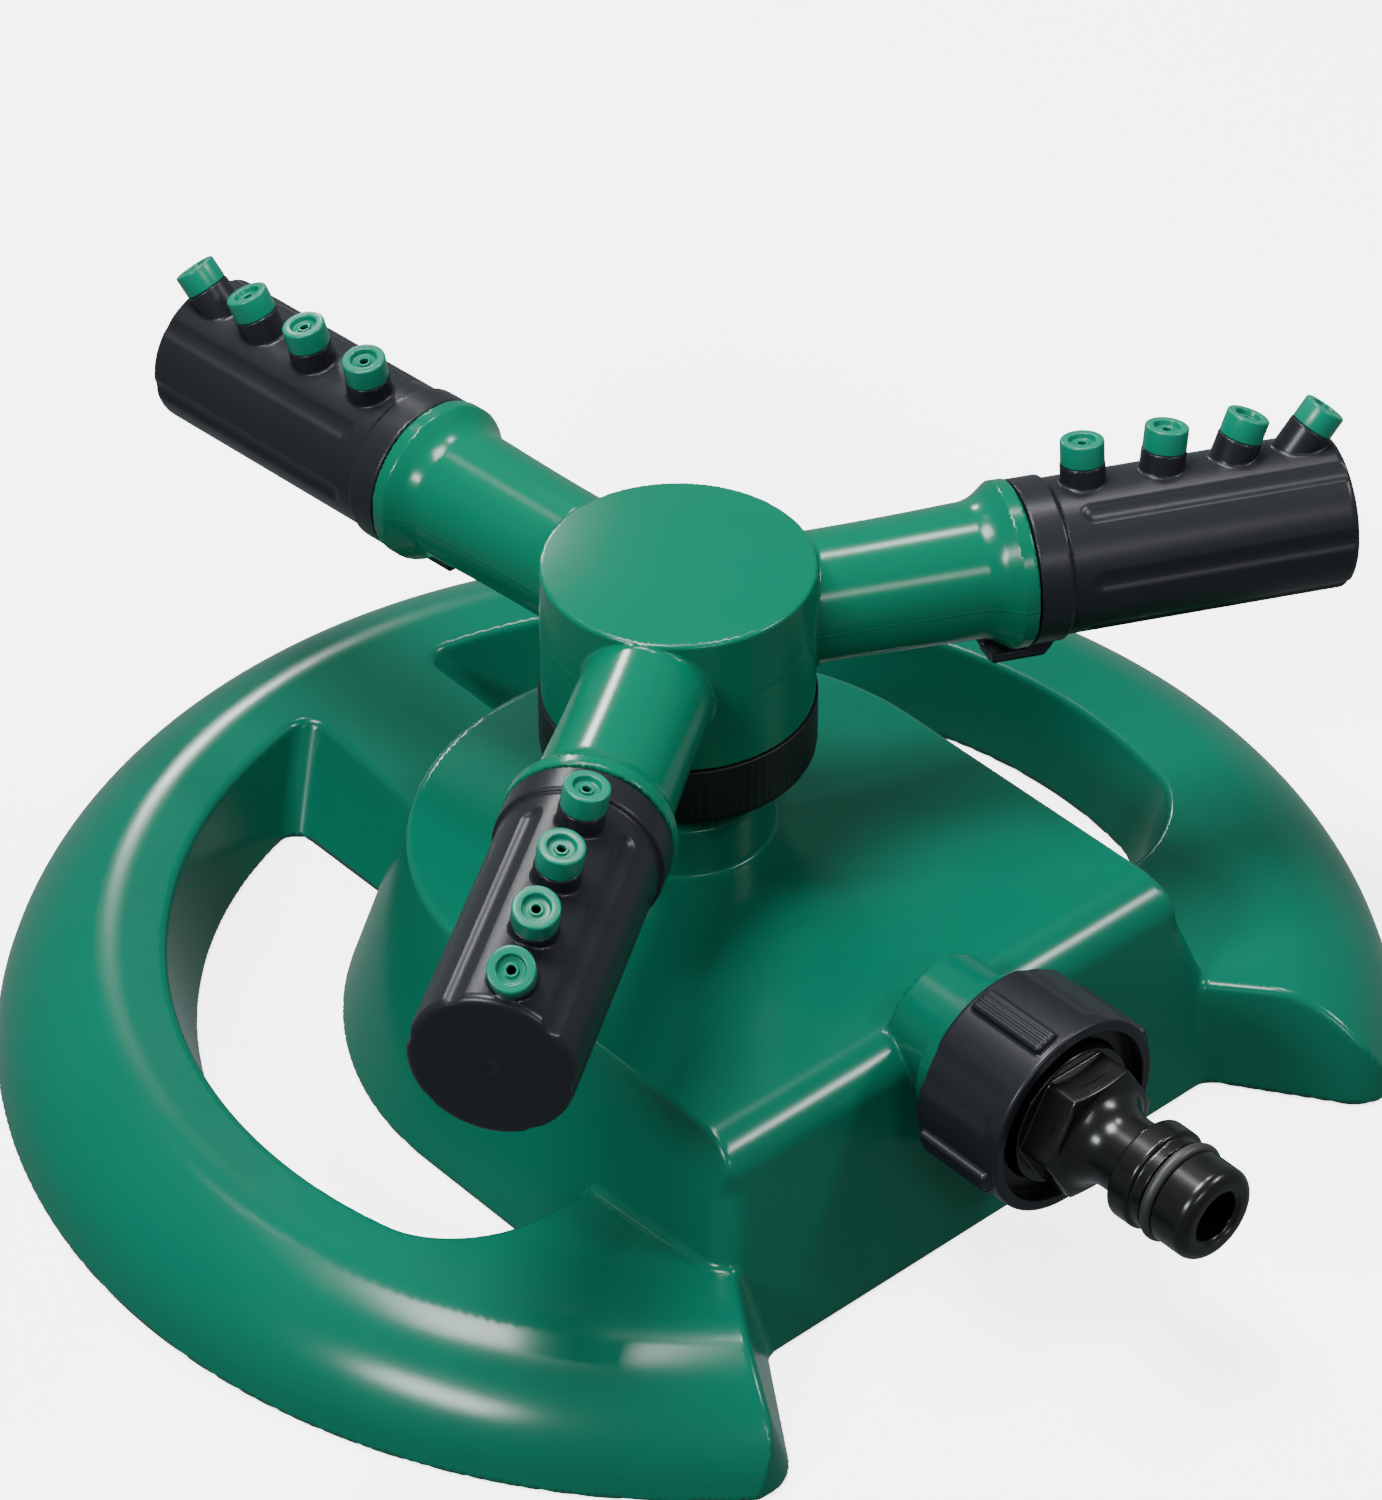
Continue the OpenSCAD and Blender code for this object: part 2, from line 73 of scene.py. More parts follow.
def net(name, field, low, high, pitch, passes=4):
    """A closed mesh of the surface where the field is zero, its points moved onto that surface.

    One point is placed in every cell that the surface crosses, and one quad at every grid edge that it
    crosses.
    """
    axes = [np.arange(a - 2 * pitch, b + 2.5 * pitch, pitch) for a, b in zip(low, high)]
    grid = np.meshgrid(*axes, indexing="ij")
    value = field(*grid).astype(np.float32)
    inside = value < 0
    shape = tuple(n - 1 for n in inside.shape)
    total = np.zeros(shape + (3,), np.float32)
    count = np.zeros(shape, np.int16)
    crossings = []
    for axis in range(3):
        first = [slice(None)] * 3
        second = [slice(None)] * 3
        first[axis] = slice(0, -1)
        second[axis] = slice(1, None)
        a, b = value[tuple(first)], value[tuple(second)]
        crossed = inside[tuple(first)] != inside[tuple(second)]
        cells = np.argwhere(crossed)
        share = a[crossed] / (a[crossed] - b[crossed])
        spot = cells.astype(np.float32)
        spot[:, axis] += share
        others = [n for n in range(3) if n != axis]
        for du in (0, 1):
            for dv in (0, 1):
                cell = cells.copy()
                cell[:, others[0]] -= du
                cell[:, others[1]] -= dv
                ok = ((cell >= 0) & (cell < np.array(shape))).all(axis=1)
                index = tuple(cell[ok].T)
                np.add.at(total, index, spot[ok])
                np.add.at(count, index, 1)
        crossings.append((axis, cells, inside[tuple(first)][crossed]))
    used = count > 0
    number = np.full(shape, -1, np.int64)
    number[used] = np.arange(used.sum())
    points = (total[used] / count[used][:, None]).astype(np.float64)
    points = np.array([axes[n][0] for n in range(3)]) + points * pitch
    faces = []
    for axis, cells, starts_inside in crossings:
        u, v = [n for n in range(3) if n != axis]
        corners = []
        for du, dv in ((0, 0), (1, 0), (1, 1), (0, 1)):
            cell = cells.copy()
            cell[:, u] -= du
            cell[:, v] -= dv
            corners.append(number[tuple(cell.T)])
        quad = np.stack(corners, axis=1)
        flip = starts_inside if axis == 1 else ~starts_inside
        quad[flip] = quad[flip][:, ::-1]
        faces.append(quad)
    faces = np.concatenate(faces)
    points = points.T.copy()
    for _ in range(passes):
        slope = gradient(field, points)
        size = np.maximum((slope ** 2).sum(axis=0), 0.2)
        move = -field(*points) * slope / size
        length = np.linalg.norm(move, axis=0)
        points += move * np.minimum(1, 0.6 * pitch / np.maximum(length, 1e-9))
    slope = gradient(field, points)
    normals = (slope / np.maximum(np.linalg.norm(slope, axis=0), 1e-9)).T
    mesh = bpy.data.meshes.new(name)
    mesh.vertices.add(points.shape[1])
    mesh.vertices.foreach_set("co", (points.T * MM).astype(np.float32).ravel())
    mesh.loops.add(faces.size)
    mesh.loops.foreach_set("vertex_index", faces.astype(np.int32).ravel())
    mesh.polygons.add(len(faces))
    mesh.polygons.foreach_set("loop_start", np.arange(0, faces.size, 4, dtype=np.int32))
    mesh.update(calc_edges=True)
    mesh.validate()
    mesh.polygons.foreach_set("use_smooth", np.ones(len(mesh.polygons), bool))
    mesh.normals_split_custom_set_from_vertices(normals.astype(np.float32))
    return mesh


def add_piece(name, mesh, material, body, replaced, place=None):
    """Puts a mesh in the scene as one piece of the object, moved to its place if one is given."""
    if place is not None:
        mesh = mesh.copy()
        mesh.transform(place)
    piece = bpy.data.objects.new(name, mesh)
    bpy.context.scene.collection.objects.link(piece)
    mesh.materials.append(material)
    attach(piece, body)
    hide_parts(*replaced)
    return piece


def lathe(name, profile, around, wave=None):
    """A closed profile of (radius, height) in millimetres turned about Z, with around points in each circle.

    wave(radius, height, angle) adds to the radius.
    """
    built = bmesh.new()
    rings = []
    for radius, height in profile:
        ring = []
        for n in range(around):
            angle = 2 * math.pi * n / around
            r = radius + (wave(radius, height, angle) if wave else 0)
            place = Vector((r * math.cos(angle), r * math.sin(angle), height))
            ring.append(built.verts.new(place * MM))
        rings.append(ring)
    for lower, upper in zip(rings, rings[1:] + rings[:1]):
        for n in range(around):
            m = (n + 1) % around
            built.faces.new((lower[n], lower[m], upper[m], upper[n]))
    bmesh.ops.recalc_face_normals(built, faces=built.faces)
    mesh = bpy.data.meshes.new(name)
    built.to_mesh(mesh)
    built.free()
    mesh.polygons.foreach_set("use_smooth", np.ones(len(mesh.polygons), bool))
    return mesh


def rounded(corners):
    """A polygon with corners given as (x, y, radius), its corners turned into arcs."""
    longest_turn = 0.3
    out = []
    count = len(corners)
    for n, (x, y, r) in enumerate(corners):
        before, after = corners[(n - 1) % count], corners[(n + 1) % count]
        if r <= 0:
            out.append((x, y))
            continue
        here = Vector((x, y))
        a = (Vector(before[:2]) - here).normalized()
        b = (Vector(after[:2]) - here).normalized()
        half = a.angle(b) / 2
        reach = r / math.tan(half)
        centre = here + (a + b).normalized() * (r / math.sin(half))
        start, end = here + a * reach - centre, here + b * reach - centre
        turn = math.atan2(start.x * end.y - start.y * end.x, start.dot(end))
        steps = max(3, int(abs(turn) / longest_turn))
        for k in range(steps + 1):
            angle = turn * k / steps
            c, s = math.cos(angle), math.sin(angle)
            out.append((centre.x + c * start.x - s * start.y, centre.y + s * start.x + c * start.y))
    return out


# ---- materials ----


GRAIN_SCALE = 900.0
SPECK_SCALE = 2500.0
CLOUD_SCALE = 60.0
MOTTLE_SCALE = 35.0
WAVE_SCALE = 28.0
SCUFFS = 0.06
SEAM_HALF_WIDTH = 0.22 * MM
BUMP_DEPTH = 0.25 * MM


def plastic(name, colour, roughness, grain=0.02, seam=None, specular=0.5, mottle=0.04):
    """A moulded plastic with a fine grain and slightly uneven gloss and colour.

    seam is the height of a parting line in millimetres, and mottle the share by which the colour varies.
    """
    material = bpy.data.materials.new(name)
    material.use_nodes = True
    nodes, links = material.node_tree.nodes, material.node_tree.links
    nodes.clear()
    out = nodes.new("ShaderNodeOutputMaterial")
    shader = nodes.new("ShaderNodeBsdfPrincipled")
    links.new(shader.outputs[0], out.inputs[0])
    coords = nodes.new("ShaderNodeTexCoord")

    def noise(scale, detail=3.0):
        n = nodes.new("ShaderNodeTexNoise")
        n.inputs["Scale"].default_value = scale
        n.inputs["Detail"].default_value = detail
        links.new(coords.outputs["Object"], n.inputs["Vector"])
        return n.outputs["Fac"]

    def remap(value, low, high, new_low, new_high):
        n = nodes.new("ShaderNodeMapRange")
        n.inputs["From Min"].default_value = low
        n.inputs["From Max"].default_value = high
        n.inputs["To Min"].default_value = new_low
        n.inputs["To Max"].default_value = new_high
        links.new(value, n.inputs["Value"])
        return n.outputs[0]

    def maths(kind, a, b):
        n = nodes.new("ShaderNodeMath")
        n.operation = kind
        for socket, v in zip(n.inputs, (a, b)):
            if isinstance(v, (int, float)):
                socket.default_value = v
            else:
                links.new(v, socket)
        return n.outputs[0]

    mix = nodes.new("ShaderNodeMix")
    mix.data_type = "RGBA"
    mix.inputs["A"].default_value = (*[c * (1 - mottle) for c in colour], 1)
    mix.inputs["B"].default_value = (*[min(1, c * (1 + mottle)) for c in colour], 1)
    links.new(remap(noise(MOTTLE_SCALE), 0.35, 0.65, 0, 1), mix.inputs["Factor"])
    links.new(mix.outputs["Result"], shader.inputs["Base Color"])

    cloud = remap(noise(CLOUD_SCALE, 4.0), 0.3, 0.7, roughness * (1 - SCUFFS), roughness * (1 + SCUFFS))
    speck = remap(noise(SPECK_SCALE, 2.0), 0.66, 0.8, 0, roughness * 0.4)
    links.new(maths("ADD", cloud, speck), shader.inputs["Roughness"])
    shader.inputs["Specular IOR Level"].default_value = specular

    height = maths("MULTIPLY", noise(GRAIN_SCALE, 2.0), grain)
    height = maths("ADD", height, maths("MULTIPLY", noise(WAVE_SCALE, 2.0), grain * 1.5))
    if seam is not None:
        split = nodes.new("ShaderNodeSeparateXYZ")
        links.new(coords.outputs["Object"], split.inputs[0])
        away = maths("ABSOLUTE", maths("SUBTRACT", split.outputs["Z"], seam * MM), 0.0)
        ridge = remap(away, 0.0, SEAM_HALF_WIDTH, 0.5, 0.0)
        height = maths("ADD", height, ridge)
    bump = nodes.new("ShaderNodeBump")
    bump.inputs["Strength"].default_value = 0.5
    bump.inputs["Distance"].default_value = BUMP_DEPTH
    links.new(height, bump.inputs["Height"])
    links.new(bump.outputs[0], shader.inputs["Normal"])
    return material


BASE_GREEN = plastic("base_plastic", (0.000, 0.068, 0.040), 0.21, specular=0.2, mottle=0.015)
HEAD_GREEN = plastic("head_plastic", (0.000, 0.080, 0.043), 0.20, specular=0.2, mottle=0.015, seam=ARM_Z)
TIP_GREEN = plastic("tip_plastic", (0.001, 0.115, 0.068), 0.28, specular=0.25, grain=0.03)
SATIN_BLACK = plastic("satin_black", (0.0070, 0.0074, 0.0095), 0.33, specular=0.2, grain=0.05)
RING_BLACK = plastic("ring_black", (0.004, 0.0042, 0.0050), 0.45, specular=0.2, grain=0.05)
GLOSS_BLACK = plastic("gloss_black", (0.003, 0.003, 0.0034), 0.24, specular=0.3, grain=0.03)
RUBBER = plastic("seal_rubber", (0.010, 0.010, 0.010), 0.5, grain=0.06)
WASHER_WHITE = plastic("washer_plastic", (0.76, 0.76, 0.70), 0.4)

# ---- base ----

BASE_CENTRE_Y = -4.7  # the ring's centre, behind which the head's axis stands
WALL = 2.5
GROUND_EDGE = 0.8

RIM_R = 116.0
RIM_LEAN = 0.35
RIM_HEIGHT = 18.0
CREST_R = 99
CREST_SLOPE = 0.07
SHOULDER_R = 15.0
WINDOW_R = 82.5
WINDOW_LEAN = 0.265
WINDOW_FRONT = 36.0
WINDOW_FRONT_LEAN = 0.294
SPOKE_HALF = 22.0
SPOKE_LEAN = 0.56
GAP_ANGLE = math.radians(34.3)
GAP_LEAN = math.radians(16)
GAP_CORNER_R = 8.5

HUMP_R = 59.0
HUMP_LEAN = 0.329
HUMP_FRONT = 75.1
HUMP_FRONT_LEAN = 0.274
HUMP_HEIGHT = 36.5
HUMP_EDGE = 6.0
BOSS_R = 15.7
BOSS_HEIGHT = 46.0
BOSS_BORE_R = 8.1

INLET_Z = 32.3
INLET_BORE_R = 8.3
BULGE_R = 11.2
BULGE_Z = 33.0
BULGE_BACK = 60.5
BULGE_FRONT = 70.0


def leaning(distance, lean):
    """Distance to a wall that moves by lean for each unit of height, given the distance measured level."""
    return distance / math.hypot(1, lean)


def ring_field(x, y, z):
    """The ring with its windows, spoke and front webs, open at the front."""
    y0 = y - BASE_CENTRE_Y
    rho = np.hypot(x, y0)
    across = np.abs(x)
    top = leaning(z - RIM_HEIGHT - CREST_SLOPE * np.minimum(rho - CREST_R, 0), CREST_SLOPE)
    outer = leaning(rho - RIM_R + RIM_LEAN * z, RIM_LEAN)
    plate = round_cut(top, outer, SHOULDER_R)
    cone = leaning(rho - WINDOW_R - WINDOW_LEAN * z, WINDOW_LEAN)
    spoke = leaning(SPOKE_HALF - SPOKE_LEAN * z - across, SPOKE_LEAN)
    front = leaning(-WINDOW_FRONT - WINDOW_FRONT_LEAN * z - y, WINDOW_FRONT_LEAN)
    window = round_cut(round_cut(cone, front, 13.0), spoke, 4.0)
    plate = round_cut(plate, -window, 0.9)
    outwards = across * math.cos(GAP_ANGLE) + y0 * math.sin(GAP_ANGLE)
    end = z * math.sin(GAP_LEAN) - outwards * math.cos(GAP_LEAN)
    plate = round_cut(plate, end, 1.2)
    corner = round_cut(rho - RIM_R - 0.3, end, GAP_CORNER_R)
    return np.maximum(plate, corner)


def hump_field(x, y, z):
    """The hump over the water channel; its side edges grow rounder towards the front corners."""
    y0 = y - BASE_CENTRE_Y
    plan = np.where(y0 > 0, np.hypot(x, y0), np.abs(x))
    side = leaning(plan - HUMP_R + HUMP_LEAN * z, HUMP_LEAN)
    front = leaning(-HUMP_FRONT + HUMP_FRONT_LEAN * z - y, HUMP_FRONT_LEAN)
    body = round_cut(front, z - HUMP_HEIGHT, HUMP_EDGE)
    near_front = step(-y, 56, 66)
    edge = 0.8 + 3.4 * near_front * (1 - step(z, 27, 34))
    return round_cut(body, side, edge)


def base_solid(x, y, z):
    """The base's outside, as if it were full: ring, hump, boss and the bulge over the inlet."""
    solid = round_union(ring_field(x, y, z), hump_field(x, y, z), 1.2)
    boss = round_cut(np.hypot(x, y) - BOSS_R, z - BOSS_HEIGHT, 0.8)
    solid = round_union(solid, boss, 0.8)
    bulge = np.hypot(x, z - BULGE_Z) - BULGE_R
    bulge = round_cut(bulge, y + BULGE_BACK, 0.6)
    bulge = round_cut(bulge, -BULGE_FRONT - y, 0.4)
    return round_union(solid, bulge, 0.6)


def base_field(x, y, z):
    """The base as a shell, open underneath, with the holes for the post and the inlet."""
    solid = base_solid(x, y, z)
    shell = np.maximum(solid, -(solid + WALL))
    shell = round_cut(shell, -z, GROUND_EDGE)
    shell = np.maximum(shell, BOSS_BORE_R - np.hypot(x, y))
    inlet = np.maximum(np.hypot(x, z - INLET_Z) - INLET_BORE_R, y + 60)
    return np.maximum(shell, -inlet)


add_piece("base", net("base", base_field, (-116, -101, 0), (116, 112, 46), 0.8), BASE_GREEN,
          "base", ["base_shell"])

# ---- head ----

HUB_R = 22.0
HUB_TOP = 87.6
HUB_CROWN = 1.2
HUB_BOTTOM = 63.2
SPIGOT_R = 17.05
SPIGOT_BOTTOM = 56.2
SEAT_R = 14.3
SEAT_TOP = 61.2
POST_BORE_R = 9.96
POST_BORE_TOP = 84
HEAD_TURN = 4.2
ARMS = range(3)
ARM_R = 10.7
ARM_END = 56.0
ARM_BORE_R = 7
FLANGE_R = 13.75
FLANGE_START = 48.0
SPINDLE_R = 9.6
SPINDLE_END = 70


def arm_turn(k):
    """The direction of an arm, anticlockwise from +X."""
    return math.radians(90 + HEAD_TURN + 120 * (k - 1))


def arm_field(s, r):
    """One arm with its flange, by distance from the head's axis and radius."""
    taper = 0.5 * step(s, 22, 50) * (s - 22) / 28
    tube = np.maximum(r - ARM_R - taper, s - ARM_END)
    flange = np.maximum(r - np.minimum(FLANGE_R, 11.2 + 0.71 * (s - 50)), FLANGE_START - s)
    flange = round_cut(flange, s - ARM_END, 0.35)
    tube = round_union(tube, flange, 1.2)
    spindle = np.maximum(r - SPINDLE_R, s - SPINDLE_END)
    return np.minimum(tube, spindle)


def head_field(x, y, z):
    """The hub with its low crown, the spigot below it and the three hollow arms."""
    rho = np.hypot(x, y)
    crown = z - HUB_TOP - HUB_CROWN * (1 - (rho / HUB_R) ** 2)
    hub = round_cut(rho - HUB_R, crown, 0.55)
    hub = np.maximum(hub, HUB_BOTTOM - z)
    spigot = np.maximum(rho - SPIGOT_R, np.maximum(SPIGOT_BOTTOM - z, z - 64))
    solid = np.minimum(hub, spigot)
    for k in ARMS:
        c, s = math.cos(arm_turn(k)), math.sin(arm_turn(k))
        out = x * c + y * s
        side = -x * s + y * c
        from_axis = np.hypot(side, z - ARM_Z)
        arm = np.maximum(arm_field(out, from_axis), 5 - out)
        solid = round_union(solid, arm, 0.5)
        solid = np.maximum(solid, -np.maximum(from_axis - ARM_BORE_R, 6 - out))
    seat = np.maximum(rho - SEAT_R, z - SEAT_TOP)
    bore = np.maximum(rho - POST_BORE_R, z - POST_BORE_TOP)
    return np.maximum(solid, -np.minimum(seat, bore))


add_piece("head", net("head", head_field, (-64, -48, 56), (68, 71, 89), 0.6), HEAD_GREEN,
          "head", ["spray_head"])

# ---- retaining ring ----

RIBS = 96
RING_R = 22.4
RING_BORE_R = 10.6
RING_CUP_R = 17.2
RING_BOTTOM = 51.5
RING_FLOOR = 54.5
RING_TOP = 63.1
RIB_DEPTH = 0.12


def ring_ribs(radius, height, angle):
    """Fine upright ribs, cut into the ring's outer wall only."""
    if radius < RING_R - 0.4 or height < RING_BOTTOM + 2.5 or height > RING_TOP - 0.5:
        return 0
    return -RIB_DEPTH * (0.5 - 0.5 * math.cos(RIBS * angle))


ring_outline = rounded([(RING_BORE_R, RING_BOTTOM, 0.4), (RING_R, RING_BOTTOM, 2.6), (RING_R, RING_TOP, 0.3),
                        (RING_CUP_R, RING_TOP, 0.3), (RING_CUP_R, RING_FLOOR, 0.0),
                        (RING_BORE_R, RING_FLOOR, 0.0)])
add_piece("ring", lathe("ring", ring_outline, around=RIBS * 8, wave=ring_ribs), RING_BLACK,
          "head", ["retaining_ring"])

# ---- nozzle barrels ----

BARREL_LEAN = math.radians(10)
BARREL_R = 12.8
BARREL_START = 56.3
BARREL_END = 110.5
SKIRT_R = 13.5
SKIRT_END = 61.8
TAB_R = 15.7
TAB_HALF = 4.6
FLUTES = [math.radians(a) for a in (36, 88, 140, 220, 272, 324)]
FLUTE_R = 3.0
FLUTE_START = 67.0
TIP_REACH = [67.8, 81.2, 93.4, 104.8]
TIP_LEAN = [math.radians(a) for a in (0, 8, 22, 38)]
POST_R = 3.7
POST_HEIGHT = 3.1
STEM_R = 2.0
JET_R = 0.8
TIP_R = 3.6
TIP_HEIGHT = 4.0


def barrel_field(s, n, u):
    """A barrel in its own frame: s out along the arm, u up along the first post, n to the side."""
    r = np.hypot(n, u)
    body = round_cut(r - BARREL_R, s - BARREL_END, 1.3)
    body = np.maximum(body, BARREL_START - s)
    skirt = round_cut(r - SKIRT_R, s - SKIRT_END, 0.5)
    skirt = round_cut(skirt, BARREL_START - s, 0.3)
    body = round_union(body, skirt, 0.3)
    beside_tab = np.maximum(np.abs(n) - TAB_HALF, u)
    tab = np.maximum(r - TAB_R, 14.1 - r)
    tab = np.maximum(tab, np.maximum(50.5 - s, s - 75.0 + r))
    tab = np.maximum(tab, beside_tab)
    root = np.maximum(r - TAB_R + np.maximum(s - 59, 0), BARREL_START - s)
    root = np.maximum(root, beside_tab)
    body = round_union(body, np.minimum(tab, root), 0.4)
    for angle in FLUTES:
        centre = BARREL_R + 2.4
        away = np.hypot(n - centre * math.sin(angle), u - centre * math.cos(angle))
        groove = np.hypot(away, np.minimum(s - FLUTE_START, 0)) - FLUTE_R
        body = round_cut(body, -groove, 0.25)
    for reach, lean in zip(TIP_REACH, TIP_LEAN):
        ds, du = math.sin(lean), math.cos(lean)
        along = (s - reach) * ds + (u - BARREL_R) * du
        across = np.hypot((s - reach) * du - (u - BARREL_R) * ds, n)
        post = round_cut(across - POST_R, along - POST_HEIGHT, 0.25)
        post = np.maximum(post, -3.0 - along)
        stem = np.maximum(across - STEM_R, np.maximum(along - 5.4, -along))
        body = round_union(body, np.minimum(post, stem), 0.35)
        body = np.maximum(body, -np.maximum(across - JET_R, -8 - along))
    gate_mark = 2.8 - np.hypot(r, s - BARREL_END - 2.5)
    body = round_cut(body, gate_mark, 0.15)
    bearing = np.maximum(r - 9.68, np.maximum(s - 70.6, 50 - s))
    water = np.maximum(r - 8.6, np.maximum(s - 107.5, 60 - s))
    return np.maximum(body, -np.minimum(bearing, water))


barrel_mesh = net("barrel", barrel_field, (50, -16, -16), (114, 16, 20), 0.42)
tip_outline = rounded([(2.02, 0.0, 0.0), (TIP_R, 0.0, 0.25), (TIP_R, TIP_HEIGHT, 0.4),
                       (2.2, TIP_HEIGHT, 0.25), (2.05, 3.0, 0.2), (1.1, 2.95, 0.1), (1.1, 3.35, 0.12),
                       (0.7, 3.35, 0.1), (0.7, 2.5, 0.0), (2.02, 2.5, 0.0)])
tip_mesh = lathe("tip", tip_outline, around=96)
for k in ARMS:
    upright = Matrix.Translation((0, 0, ARM_Z * MM)) @ Matrix.Rotation(arm_turn(k), 4, "Z")
    barrel_place = upright @ Matrix.Rotation(-BARREL_LEAN, 4, "X")
    body = "barrel_%d" % (k + 1)
    add_piece(body, barrel_mesh, SATIN_BLACK, body, ["nozzle_barrel_%d" % (k + 1)],
              barrel_place)
    for i, (reach, lean) in enumerate(zip(TIP_REACH, TIP_LEAN)):
        place = barrel_place @ Matrix.Translation((reach * MM, 0, BARREL_R * MM))
        place = place @ Matrix.Rotation(lean, 4, "Y") @ Matrix.Translation((0, 0, POST_HEIGHT * MM))
        add_piece("tip_%d_%d" % (k + 1, i + 1), tip_mesh, TIP_GREEN, body,
                  ["nozzle_tip_%d_%d" % (k + 1, i + 1)], place)

# ---- nut and adaptor ----

NUT_BACK = 74.0
NUT_FRONT = 91.5
NUT_R = 17.0
LUG_R = 18.25
LUG_HALF = 2.2
LUG_TURN = math.radians(17)
LUG_SPACING = math.pi / 2
NUT_BORE_R = 13.3
NUT_LIP_R = 12.2
NUT_RECESS_R = 15.0


def nut_field(x, y, z):
    """The nut: four ribbed lugs, a shallow scallop behind each, and a recess in its front."""
    u = z - INLET_Z
    d = -y
    r = np.hypot(x, u)
    angle = np.arctan2(-x, u) - LUG_TURN
    sector = np.mod(angle + LUG_SPACING / 2, LUG_SPACING) - LUG_SPACING / 2
    across = np.abs(sector) * r
    body = round_cut(r - NUT_R, d - NUT_FRONT, 0.6)
    body = round_cut(body, NUT_BACK - d, 0.8)
    past_sector = np.abs(np.mod(angle, LUG_SPACING) - LUG_SPACING / 2) * r
    dip = 0.35 * (1 - step(past_sector, 2.0, 5.0)) * (1 - step(d, NUT_FRONT - 3.5, NUT_FRONT - 2.5))
    body = body + dip
    ribs = 0.16 * (0.5 + 0.5 * np.cos(sector * r * 2 * math.pi)) * (1 - step(across, 1.5, 1.8))
    lug = round_cut(r - LUG_R + ribs, across - LUG_HALF, 0.6)
    lug = round_cut(lug, np.maximum(NUT_BACK + 1.5 - d, d - NUT_FRONT + 1.4), 0.7)
    lug = np.maximum(lug, 15.5 - r)
    body = round_union(body, lug, 0.5)
    recess = np.maximum(r - NUT_RECESS_R, NUT_FRONT - 2.6 - d)
    bore = np.maximum(r - NUT_BORE_R, d - (NUT_FRONT - 5.2))
    return np.maximum(body, -np.minimum(np.minimum(recess, r - NUT_LIP_R), bore))


add_piece("nut", net("nut", nut_field, (-19, -92, 13), (19, -73.5, 51), 0.3), SATIN_BLACK,
          "nut", ["swivel_nut"])

PLATE_R = 13.0
SHANK_R = 11.9
HEX_HALF = 9.87
HEX_END = 97.6
NECK_START = 97.0
NECK_R = 6.3
COLLAR_R = 8.6
COLLAR_BACK = 107.0
COLLAR_FRONT = 111.2
NOSE_R = 7.9
NOSE_END = 122.5
GROOVE_R = 6.5
GROOVE_BACK = 113.2
GROOVE_FRONT = 115.8
NIPPLE_BORE_R = 4.2


def between(d, back, front):
    """Inside from back to front along the inlet's axis."""
    return np.maximum(back - d, d - front)


def adaptor_field(x, y, z):
    """The adaptor: a plate and shank in the nut, a hexagon, and the nipple with its groove."""
    u = z - INLET_Z
    d = -y
    r = np.hypot(x, u)
    plate = round_cut(r - PLATE_R, between(d, 84.1, 86.2), 0.2)
    shank = round_cut(r - SHANK_R, between(d, 84.5, 91.2), 0.35)
    hexagon = np.maximum(np.abs(u) - HEX_HALF, np.abs(x) * 0.866 + np.abs(u) * 0.5 - HEX_HALF)
    hexagon = round_cut(hexagon, r - 11.3, 0.3)
    hexagon = round_cut(hexagon, (d - HEX_END) + 0.35 * np.maximum(r - 9.6, 0), 0.3)
    hexagon = np.maximum(hexagon, 90 - d)
    t = np.clip((d - NECK_START) / 6.0, 0, 1)
    neck = np.maximum(r - NECK_R - 3.2 * (1 - t) ** 2.4, between(d, 96, 108))
    collar = round_cut(r - COLLAR_R, between(d, COLLAR_BACK, COLLAR_FRONT), 0.5)
    nose = round_cut(r - NOSE_R, d - NOSE_END, 2.0)
    nose = np.maximum(nose, COLLAR_BACK + 0.5 - d)
    nose = np.maximum(nose, -np.maximum(GROOVE_R - r, between(d, GROOVE_BACK, GROOVE_FRONT)))
    solid = np.minimum(plate, shank)
    solid = round_union(solid, hexagon, 0.3)
    solid = round_union(solid, neck, 0.8)
    solid = round_union(solid, collar, 0.4)
    solid = round_union(solid, nose, 0.3)
    bore = NIPPLE_BORE_R + 0.7 * step(d, 121.7, 122.6) - r
    return np.maximum(solid, bore)


add_piece("adaptor", net("adaptor", adaptor_field, (-13.5, -123, 18.5), (13.5, -83.5, 46), 0.3), GLOSS_BLACK,
          "adaptor", ["hose_adaptor"])

# ---- pieces shown as they were designed ----

SHOWN_AS_DESIGNED = {"inlet_pipe": BASE_GREEN, "pivot_post": SATIN_BLACK, "post_gasket": RUBBER,
                     "thrust_washer": WASHER_WHITE, "head_seal": RUBBER, "arm_oring_1": RUBBER,
                     "arm_oring_2": RUBBER, "arm_oring_3": RUBBER, "adaptor_oring": RUBBER,
                     "inlet_washer": RUBBER}
for node, material in SHOWN_AS_DESIGNED.items():
    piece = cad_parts[node]
    piece.data.materials.clear()
    piece.data.materials.append(material)
    bevel = piece.modifiers.new("edges", "BEVEL")
    bevel.width = 0.15 * MM
    bevel.segments = 2
    bevel.limit_method = "ANGLE"
    bevel.angle_limit = math.radians(40)

# ---- floor, light and camera ----


def glowing_material(name, colour, roughness, glow):
    """A matt white that also gives off some light, for a bright studio floor."""
    material = bpy.data.materials.new(name)
    material.use_nodes = True
    shader = material.node_tree.nodes["Principled BSDF"]
    shader.inputs["Base Color"].default_value = (*colour, 1)
    shader.inputs["Roughness"].default_value = roughness
    shader.inputs["Emission Color"].default_value = (1, 1, 1, 1)
    shader.inputs["Emission Strength"].default_value = glow
    return material


